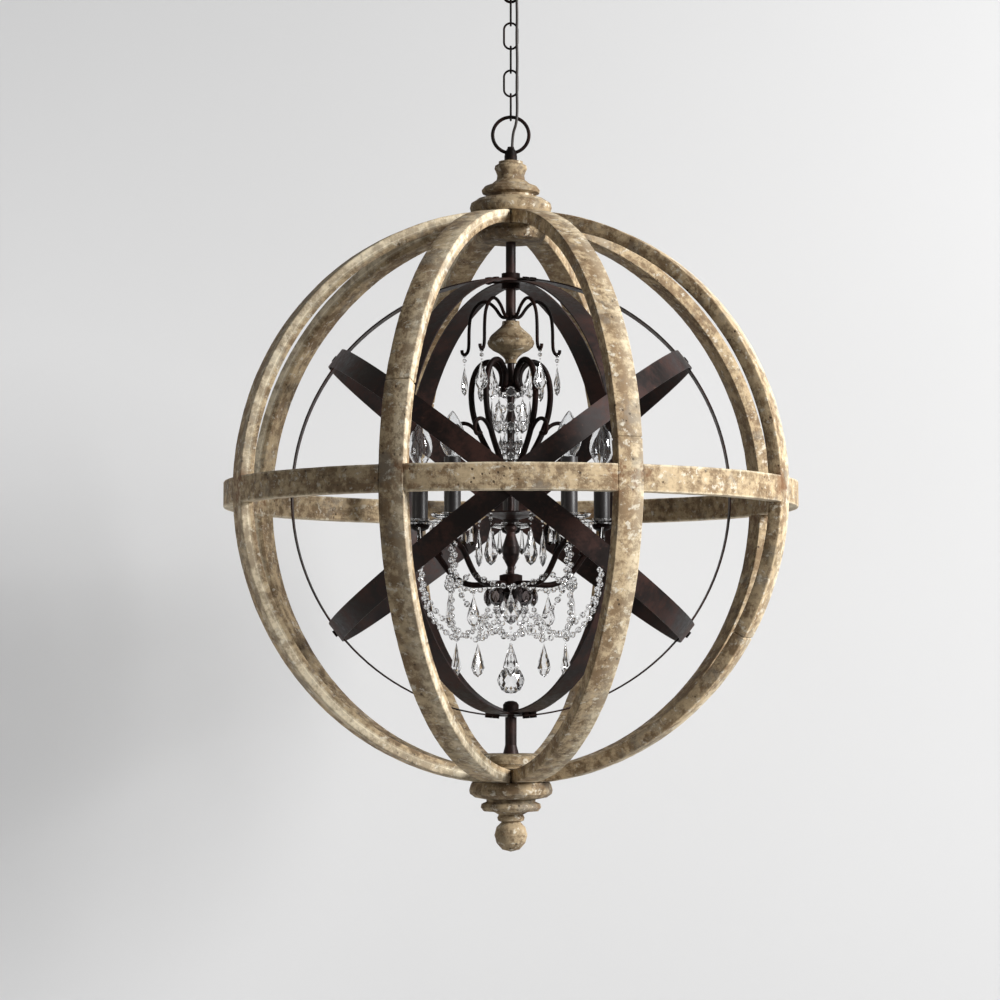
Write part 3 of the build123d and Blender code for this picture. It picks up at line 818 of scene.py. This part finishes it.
class WoodenOrb(bpy.types.Operator):
    """Ribs, equator strip and the turned pieces"""
    bl_idname = "chandelier.orb"
    bl_label = "Wooden orb"

    ribs = range(1, 9)
    half_bay = math.radians(22.5)                        # from a rib to the middle of a gap
    seams = {1: 0.052, 8: 0.128, 2: -0.20, 5: 0.17}      # scarf joints: rib to height
    groove = 1.3 * MM                                    # how deep a scarf joint shows
    pole_end, bore = 5.4 * MM, 5.2 * MM                  # from the axis: a rib's end, the nipple's hole
    mitre_gap, tip_half = 0.15 * MM, 0.3 * MM            # at the poles: to the mitre, half a rib's tip

    def execute(self, context):
        wood = context.scene.orb_wood
        for number in self.ribs:
            self.rib(number, wood)
        self.equator(wood)
        for node in ("top_cap", "bottom_finial", "top_hub_disc", "bottom_hub_disc", "wood_bell"):
            repaint(node, "turned_wood")
        return {"FINISHED"}

    def azimuth(self, number):
        return math.radians(45 * (number - 0.5))

    def stray(self, wood, broad, fine):
        """How far a sawn face strays from true, by its places in a broad and a fine noise."""
        return (noise.noise(Vector(broad)) * 0.6 + noise.noise(Vector(fine)) * 0.5 - 0.55) * wood.wobble

    def rib(self, number, wood):
        half, depth = wood.rib_width / 2, wood.rib_depth
        azimuth = self.azimuth(number)
        outward = Vector((math.sin(azimuth), -math.cos(azimuth), 0))
        across = Vector((math.cos(azimuth), math.sin(azimuth), 0))
        lap = math.asin(half / ORB_R)
        pole = math.acos(self.pole_end / ORB_R)
        steps = 88
        angles = [pole * math.sin(math.pi / 2 * i / steps) for i in range(-steps, steps + 1)] + [lap, -lap]
        at_seam = None
        if number in self.seams:
            at_seam = math.asin(self.seams[number] / ORB_R)
            angles += [at_seam + step * 0.6 * MM / ORB_R for step in (-3, -1, 0, 1, 3)]
        stations = []
        for angle in sorted(set(angles)):
            if abs(abs(angle) - lap) < 1e-6:
                stations += [(angle, angle > 0), (angle, angle < 0)]
            else:
                stations.append((angle, abs(angle) < lap))
        rings = []
        for angle, in_lap in stations:
            low = ORB_R - depth / 2 if in_lap else ORB_R - depth
            ring = []
            for side, through in rounded_section(half, low, ORB_R, wood.edge_round):
                stray = self.stray(wood, (side * 22, through * 22 + number * 9, angle * 6),
                                   (side * 90, through * 90 + number * 5, angle * 48))
                if at_seam is not None and abs(angle - at_seam) < MM / ORB_R:
                    stray -= self.groove
                reach = min(through + (stray if through > low + depth / 4 else -stray), ORB_R)
                radial = max(reach * math.cos(angle), self.bore)
                limit = max(radial * math.tan(self.half_bay) - self.mitre_gap, self.tip_half)
                spread = max(-limit, min(limit, side * (1 + stray / half)))
                height = Vector((0, 0, reach * math.sin(angle)))
                ring.append(ORB + outward * radial + across * spread + height)
            rings.append(ring)
        piece = strip(f"rib_wood_{number}", rings, finish_named("strip_wood"))
        seat(piece, "fixture", "wood", f"rib_{number}")

    def equator(self, wood):
        half = math.asin(wood.rib_width / 2 / ORB_R)
        free = self.half_bay - half
        stations = []
        for number in self.ribs:
            centre = self.azimuth(number)
            before = centre - self.half_bay
            stations += [(before + free * i / 14, False) for i in range(15)]
            stations += [(centre - half + 2 * half * i / 4, True) for i in range(5)]
            stations += [(centre + half + free * i / 14, False) for i in range(14)]
        rings = []
        for azimuth, in_lap in stations:
            high = ORB_R - wood.rib_depth / 2 if in_lap else ORB_R
            outward = Vector((math.sin(azimuth), -math.cos(azimuth), 0))
            ring = []
            for side, through in rounded_section(
                    wood.rib_width / 2, ORB_R - wood.rib_depth, high, wood.edge_round):
                stray = self.stray(wood, (side * 22 + 40, through * 22, azimuth * 6),
                                   (side * 90, through * 90 + 70, azimuth * 48))
                height = side * (1 + stray * 2 / wood.rib_width)
                ring.append(ORB + outward * min(through + stray, ORB_R) + Vector((0, 0, height)))
            rings.append(ring)
        piece = strip("equator_wood", rings, finish_named("strip_wood"), closed=True)
        seat(piece, "fixture", "wood", "equator_hoop")


def repaint(node, finish):
    """Give a CAD node's object its finish."""
    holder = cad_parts[node]
    holder.data.materials.clear()
    holder.data.materials.append(finish_named(finish))


class MetalFrame(bpy.types.Operator):
    """Canopy, chain, hoops, stems and their fasteners"""
    bl_idname = "chandelier.metal"
    bl_label = "Metal frame"

    def execute(self, context):
        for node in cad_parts:
            if node.startswith("chain_link") or node in (
                    "canopy_loop", "top_loop", "hoop_fasteners", "arm_hub", "candle_cups"):
                repaint(node, "blackened")
            elif node in ("canopy", "canopy_ring_nut", "upper_stem", "lower_stem", "centre_column"):
                repaint(node, "bronze")
            elif node.startswith("hoop_"):
                repaint(node, "strap")
            elif node in ("ceiling_bracket", "bracket_nipple", "top_nipple", "finial_stud"):
                repaint(node, "steel")
        repaint("candle_sleeves", "sleeve")
        repaint("lamp_sockets", "socket")
        repaint("bobeches", "crystal")
        return {"FINISHED"}


def turned_line(points, turn):
    """(radius, height) pairs in millimetres, set at an azimuth and softened."""
    return softened([at_azimuth(turn, r * MM, z * MM) for r, z in points])


class Scrollwork(bpy.types.Operator):
    """Canes, lyre scrolls, arms and their curls"""
    bl_idname = "chandelier.scrolls"
    bl_label = "Scrollwork"

    # (radius, height) in millimetres about the orb's centre
    cane = [(7, 252), (14, 252), (24, 268), (38, 277), (51, 271), (60, 256), (62, 236), (62, 213),
            (63.5, 205), (67.5, 201), (72, 203), (72.5, 208)]
    lyre = [(17, 150), (11.5, 163), (15, 180), (30, 192), (48, 184), (57, 164), (59, 140),
            (55, 112), (45, 86), (33, 64), (21, 44), (5, 44)]
    shoulder = [(44, 84), (58, 102), (74, 106), (86, 96), (82, 82), (72, 84)]
    arm = [(16, -122), (34, -122), (60, -124), (82, -114), (96, -98), (107, -82), (121, -70),
           (135, -64), (135, -46)]
    curl = [(103, -81), (111, -68), (108, -52), (97, -42), (85, -45), (82, -54), (88, -60)]

    def execute(self, context):
        tree = round_rod_tree()
        for name, node, sets in (
            ("cane_wires", "crown_canes", ((self.cane, 2.4),)),
            ("lyre_rods", "lyre_scrolls", ((self.lyre, 4.2), (self.shoulder, 2.8))),
            ("arm_rods", "arms", ((self.arm, 4.2),)),
            ("arm_curls", "arm_scrolls", ((self.curl, 3.3),)),
        ):
            for number, (points, radius) in enumerate(sets):
                lines = [turned_line(points, turn) for turn in each_light()]
                piece = tree.grow(f"{name}_{number + 1}", lines, finish_named("blackened"),
                                  Thickness=radius * MM)
                seat(piece, "fixture", "bronze", node)
        self.curl_tips()
        return {"FINISHED"}

    def curl_tips(self):
        """Small forged balls on the free ends of the scrolls."""
        tray = StoneTray()
        ball = faceted(ball_profile((0.35, 0.75, 1.15)), 12)
        for turn in each_light():
            for radius, height, size in ((17, 150, 5.4), (72, 84, 3.8), (88, -60, 4.0)):
                tray.add(ball, facing(turn, radius * MM, height * MM, size * MM))
        piece = tray.build("scroll_tips", finish_named("blackened"))
        piece.data.shade_smooth()
        seat(piece, "fixture", "bronze")


class Crystals(bpy.types.Operator):
    """Every cut stone: drops, beads, prisms and the ball"""
    bl_idname = "chandelier.crystals"
    bl_label = "Crystals"

    def execute(self, context):
        settings = context.scene.orb_crystal
        beads = bead_string_tree()
        self.hung_stones(beads, settings)
        self.swags(beads, settings)
        self.teardrops()
        self.ball(beads, settings)
        self.prisms()
        return {"FINISHED"}

    # flat drops: radius and height they hang from, length, half width, bead heights, all in mm
    at_arms = [
        (68.5, 185, 42, 11.5, (200, 193, 187)), (44, 178, 44, 11.5, ()),
        (28, 136, 50, 11, (150, 144, 138)), (47, -44, 54, 12, (-27, -33, -40)),
    ]
    between_arms = [(15, 86, 36, 8, (94, 89)), (90, -136, 45, 12, (-131, -135))]
    flatness = 0.38

    def hung_stones(self, beads, settings):
        glass = finish_named("crystal")
        tray = StoneTray()
        strings = []
        octagon = faceted(octagon_profile(1.0, 0.34), 8)
        upright = Matrix.Rotation(math.radians(90), 4, "X") @ Matrix.Rotation(math.radians(22.5), 4, "Z")
        for offset, stones in ((0, self.at_arms), (LIGHT_TURN / 2, self.between_arms)):
            for turn in each_light(offset):
                for radius, top, length, half_width, string in stones:
                    cut = faceted(drop_profile(top, length, half_width), 8, self.flatness)
                    tray.add(cut, facing(turn, radius * MM, 0, MM))
                    strings += [[at_azimuth(turn, radius * MM, a * MM), at_azimuth(turn, radius * MM, b * MM)]
                                for a, b in zip(string, string[1:])]
        # Hub stones in near-black glass: a painted dark reflection.
        painted_dark_reflection_stones = StoneTray()
        for turn in each_light():
            painted_dark_reflection_stones.add(octagon, facing(turn, 33 * MM, -140.5 * MM, 13 * MM) @ upright)
            tray.add(faceted(drop_profile(-136, 30, 6), 8), facing(turn, 20 * MM, 0, MM))
        for turn in each_light(LIGHT_TURN / 2):
            for radius, height, size in ((15, 72, 7), (16, 146, 7), (20, 124, 6.5), (17, 98, 6), (14, 56, 6)):
                tray.add(octagon, facing(turn, radius * MM, height * MM, size * MM) @ upright)
        painted_dark_reflection_stones.add(faceted([(0, -178), (6, -171), (9, -164), (5, -157), (1.4, -152), (0, -146)], 8),
                   facing(0, 0, 0, MM))
        seat(tray.build("cut_stones", glass), "fixture", "crystal", "inner_crystals")
        seat(painted_dark_reflection_stones.build("hub_stones", finish_named("painted_dark_reflection")), "fixture", "crystal")
        small = beads.grow("short_strings", strings, glass, smooth=False,
                           Bead=3.1 * MM, Spacing=7.0 * MM)
        seat(small, "fixture", "crystal")

    # strings of beads: share of the way from a low point to its arm, radius and height in mm
    swag = [(0.965, 134, -72), (0.965, 134, -104), (0.92, 128, -140), (0.67, 110, -172),
            (0.26, 85, -195), (0, 78, -200)]
    garland = [(0.9, 90, -112), (0.55, 90, -124), (0, 90, -130)]
    tie = [(0.9, 34, -158), (0.62, 45, -178), (0.3, 62, -191), (0.06, 72.5, -196)]

    def swags(self, beads, settings):
        lines, ties = [], []
        for turn in each_light(LIGHT_TURN / 2):
            for route in (self.swag, self.garland):
                lines.append(self.bead_line(turn, [(-share, r, z) for share, r, z in route] + route[-2::-1]))
            ties += [self.bead_line(turn, [(side * share, r, z) for share, r, z in self.tie])
                     for side in (-1, 1)]
        glass = finish_named("crystal")
        for name, strings, size in (("swag_beads", lines, 1.0), ("tie_beads", ties, 0.78)):
            piece = beads.grow(name, strings, glass, smooth=False,
                               Bead=settings.bead * size, Spacing=settings.bead_gap * size)
            seat(piece, "fixture", "crystal", "swags")

    def bead_line(self, turn, route):
        return spline_line([at_azimuth(turn + LIGHT_TURN / 2 * share, radius * MM, height * MM)
                            for share, radius, height in route], 12)

    hanger, pear_half = 9.5, 10.9        # in mm: the wire above a teardrop, half the stone's width

    def teardrops(self):
        for number, turn in enumerate(each_light(LIGHT_TURN / 2)):
            node = f"teardrop_{number + 1}"
            low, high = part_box(node)
            top = (high.z - ORB_Z) / MM - self.hanger
            length = (high.z - low.z) / MM - self.hanger
            tray = StoneTray()
            middle = centre_of(node)
            place = Matrix.Translation(Vector((middle.x, middle.y, ORB_Z))) \
                @ Matrix.Rotation(turn, 4, "Z") @ Matrix.Scale(MM, 4)
            tray.add(faceted(drop_profile(top, length, self.pear_half), 10, 0.6), place)
            piece = tray.build(f"pear_{number + 1}", finish_named("crystal"))
            seat(piece, node, "crystal", node)

    def ball(self, beads, settings):
        low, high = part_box("crystal_ball")
        radius = (high.x - low.x) / 2
        tray = StoneTray()
        tray.add(faceted(ball_profile((0.44, 0.84, 1.22)), 12),
                 Matrix.Translation(Vector((0, 0, low.z + radius))) @ Matrix.Scale(radius, 4))
        piece = tray.build("ball_stone", finish_named("crystal"))
        seat(piece, "crystal_ball", "crystal", "crystal_ball")
        string = [Vector((0, 0, high.z - 5 * MM)), Vector((0, 0, low.z + 2 * radius + 2 * MM))]
        piece = beads.grow("ball_string", [string], finish_named("crystal"), smooth=False,
                           Bead=2.3 * MM, Spacing=5.6 * MM)
        seat(piece, "crystal_ball", "crystal")

    def prisms(self):
        tree = prism_crown_tree()
        rim_r, rim_z, steps = 27.4 * MM, -36 * MM, 24
        lines = []
        for turn in each_light():
            middle = at_azimuth(turn, CUP_R, rim_z)
            lines.append([middle + Vector((math.sin(a), math.cos(a), 0)) * rim_r
                          for a in (math.tau * k / steps for k in range(steps + 1))])
        piece = tree.grow("dish_prisms", lines, finish_named("crystal"), smooth=False,
                          Length=28 * MM, Width=4.2 * MM, Spacing=17 * MM)
        seat(piece, "fixture", "crystal", "bobeche_prisms")


class Lamps(bpy.types.Operator):
    """Clear candle lamps with their bases and filaments"""
    bl_idname = "chandelier.lamps"
    bl_label = "Lamps"

    # radius and height in millimetres, from the foot of the glass up; then its wall
    envelope = [(6.2, 46), (8.6, 49), (13.5, 57), (16.8, 66), (17.4, 73), (16.2, 82), (12.6, 92),
                (7.6, 101), (3.0, 107.6), (0.8, 109.8)]
    wall = 0.7
    sides = 24

    def execute(self, context):
        for number, turn in enumerate(each_light()):
            self.lamp(number + 1, turn)
        return {"FINISHED"}

    def lamp(self, number, turn):
        body = f"bulb_{number}"
        place = Matrix.Translation(at_azimuth(turn, CUP_R, 0)) @ Matrix.Scale(MM, 4)
        base = self.skin([(3, 19), (3.2, 22), (6.2, 24)] + [
            (6.7 - 0.35 * (k % 2), 25 + 1.6 * k) for k in range(11)] + [(6.6, 46)], True)
        stem = self.skin([(2.2, 46), (1.8, 52), (1.2, 58), (1.0, 60)], True)
        for name, (vertices, faces), finish, nodes in (
            ("lamp_glass", self.envelope_skin(), "lamp_glass", [body]),
            ("lamp_base", base, "brass", []),
            ("lamp_stem", stem, "lamp_glass", []),
        ):
            piece = new_object(f"{name}_{number}", [place @ v for v in vertices], faces, finish_named(finish))
            seat(piece, body, "bulb", *nodes)
        tree = round_rod_tree()
        half = [(1, 0, 56), (3.4, 0, 64), (3.6, 0, 76), (1.2, 0, 84)]
        loop = [(-x, y, z) for x, y, z in half] + half[::-1]
        wire = tree.grow(f"filament_{number}", [[place @ p for p in softened(loop, 2)]],
                         finish_named("steel"), Thickness=0.25 * MM)
        seat(wire, body, "bulb")

    def envelope_skin(self):
        """The glass, with its inner wall turned inwards and its foot closed between the two."""
        outer = self.skin(self.envelope)
        inner = self.skin([(max(r - self.wall, 0.1), z - (self.wall if z > 60 else 0))
                           for r, z in self.envelope])
        start = len(outer[0])
        faces = outer[1] + [tuple(reversed([start + i for i in face])) for face in inner[1]]
        faces += [(k, start + k, start + (k + 1) % self.sides, (k + 1) % self.sides)
                  for k in range(self.sides)]
        return outer[0] + inner[0], faces

    def skin(self, profile, closed_low=False):
        """Smooth lathe skin, closed at the top."""
        sides = self.sides
        vertices = [Vector((r * math.cos(math.tau * k / sides), r * math.sin(math.tau * k / sides), z))
                    for r, z in profile for k in range(sides)]
        faces = []
        for i in range(len(profile) - 1):
            for k in range(sides):
                n = (k + 1) % sides
                faces.append((i * sides + k, i * sides + n, (i + 1) * sides + n, (i + 1) * sides + k))
        last = (len(profile) - 1) * sides
        faces.append(tuple(last + k for k in range(sides)))
        if closed_low:
            faces.append(tuple(reversed(range(sides))))
        return vertices, faces


class ChandelierPanel(bpy.types.Panel):
    """Buttons for each group of the chandelier"""
    bl_idname = "VIEW3D_PT_chandelier"
    bl_label = "Orb chandelier"
    bl_space_type = "VIEW_3D"
    bl_region_type = "UI"
    bl_category = "Chandelier"

    def draw(self, context):
        for operator in OPERATORS:
            self.layout.operator(operator.bl_idname)


OPERATORS = (Finishes, StudioStage, SupplyCord, WoodenOrb, MetalFrame, Scrollwork, Crystals, Lamps)
GROUPS = {"orb_wood": OrbWood, "orb_bronze": Bronze, "orb_crystal": Crystal, "orb_studio": Studio}


def register():
    for kind in (*GROUPS.values(), *OPERATORS, ChandelierPanel):
        bpy.utils.register_class(kind)
    for name, kind in GROUPS.items():
        setattr(bpy.types.Scene, name, bpy.props.PointerProperty(type=kind))


def unregister():
    for name in GROUPS:
        delattr(bpy.types.Scene, name)
    for kind in reversed((*GROUPS.values(), *OPERATORS, ChandelierPanel)):
        bpy.utils.unregister_class(kind)


def main():
    register()
    for operator in OPERATORS:
        section, name = operator.bl_idname.split(".")
        getattr(getattr(bpy.ops, section), name)()


if __name__ == "__main__":
    main()
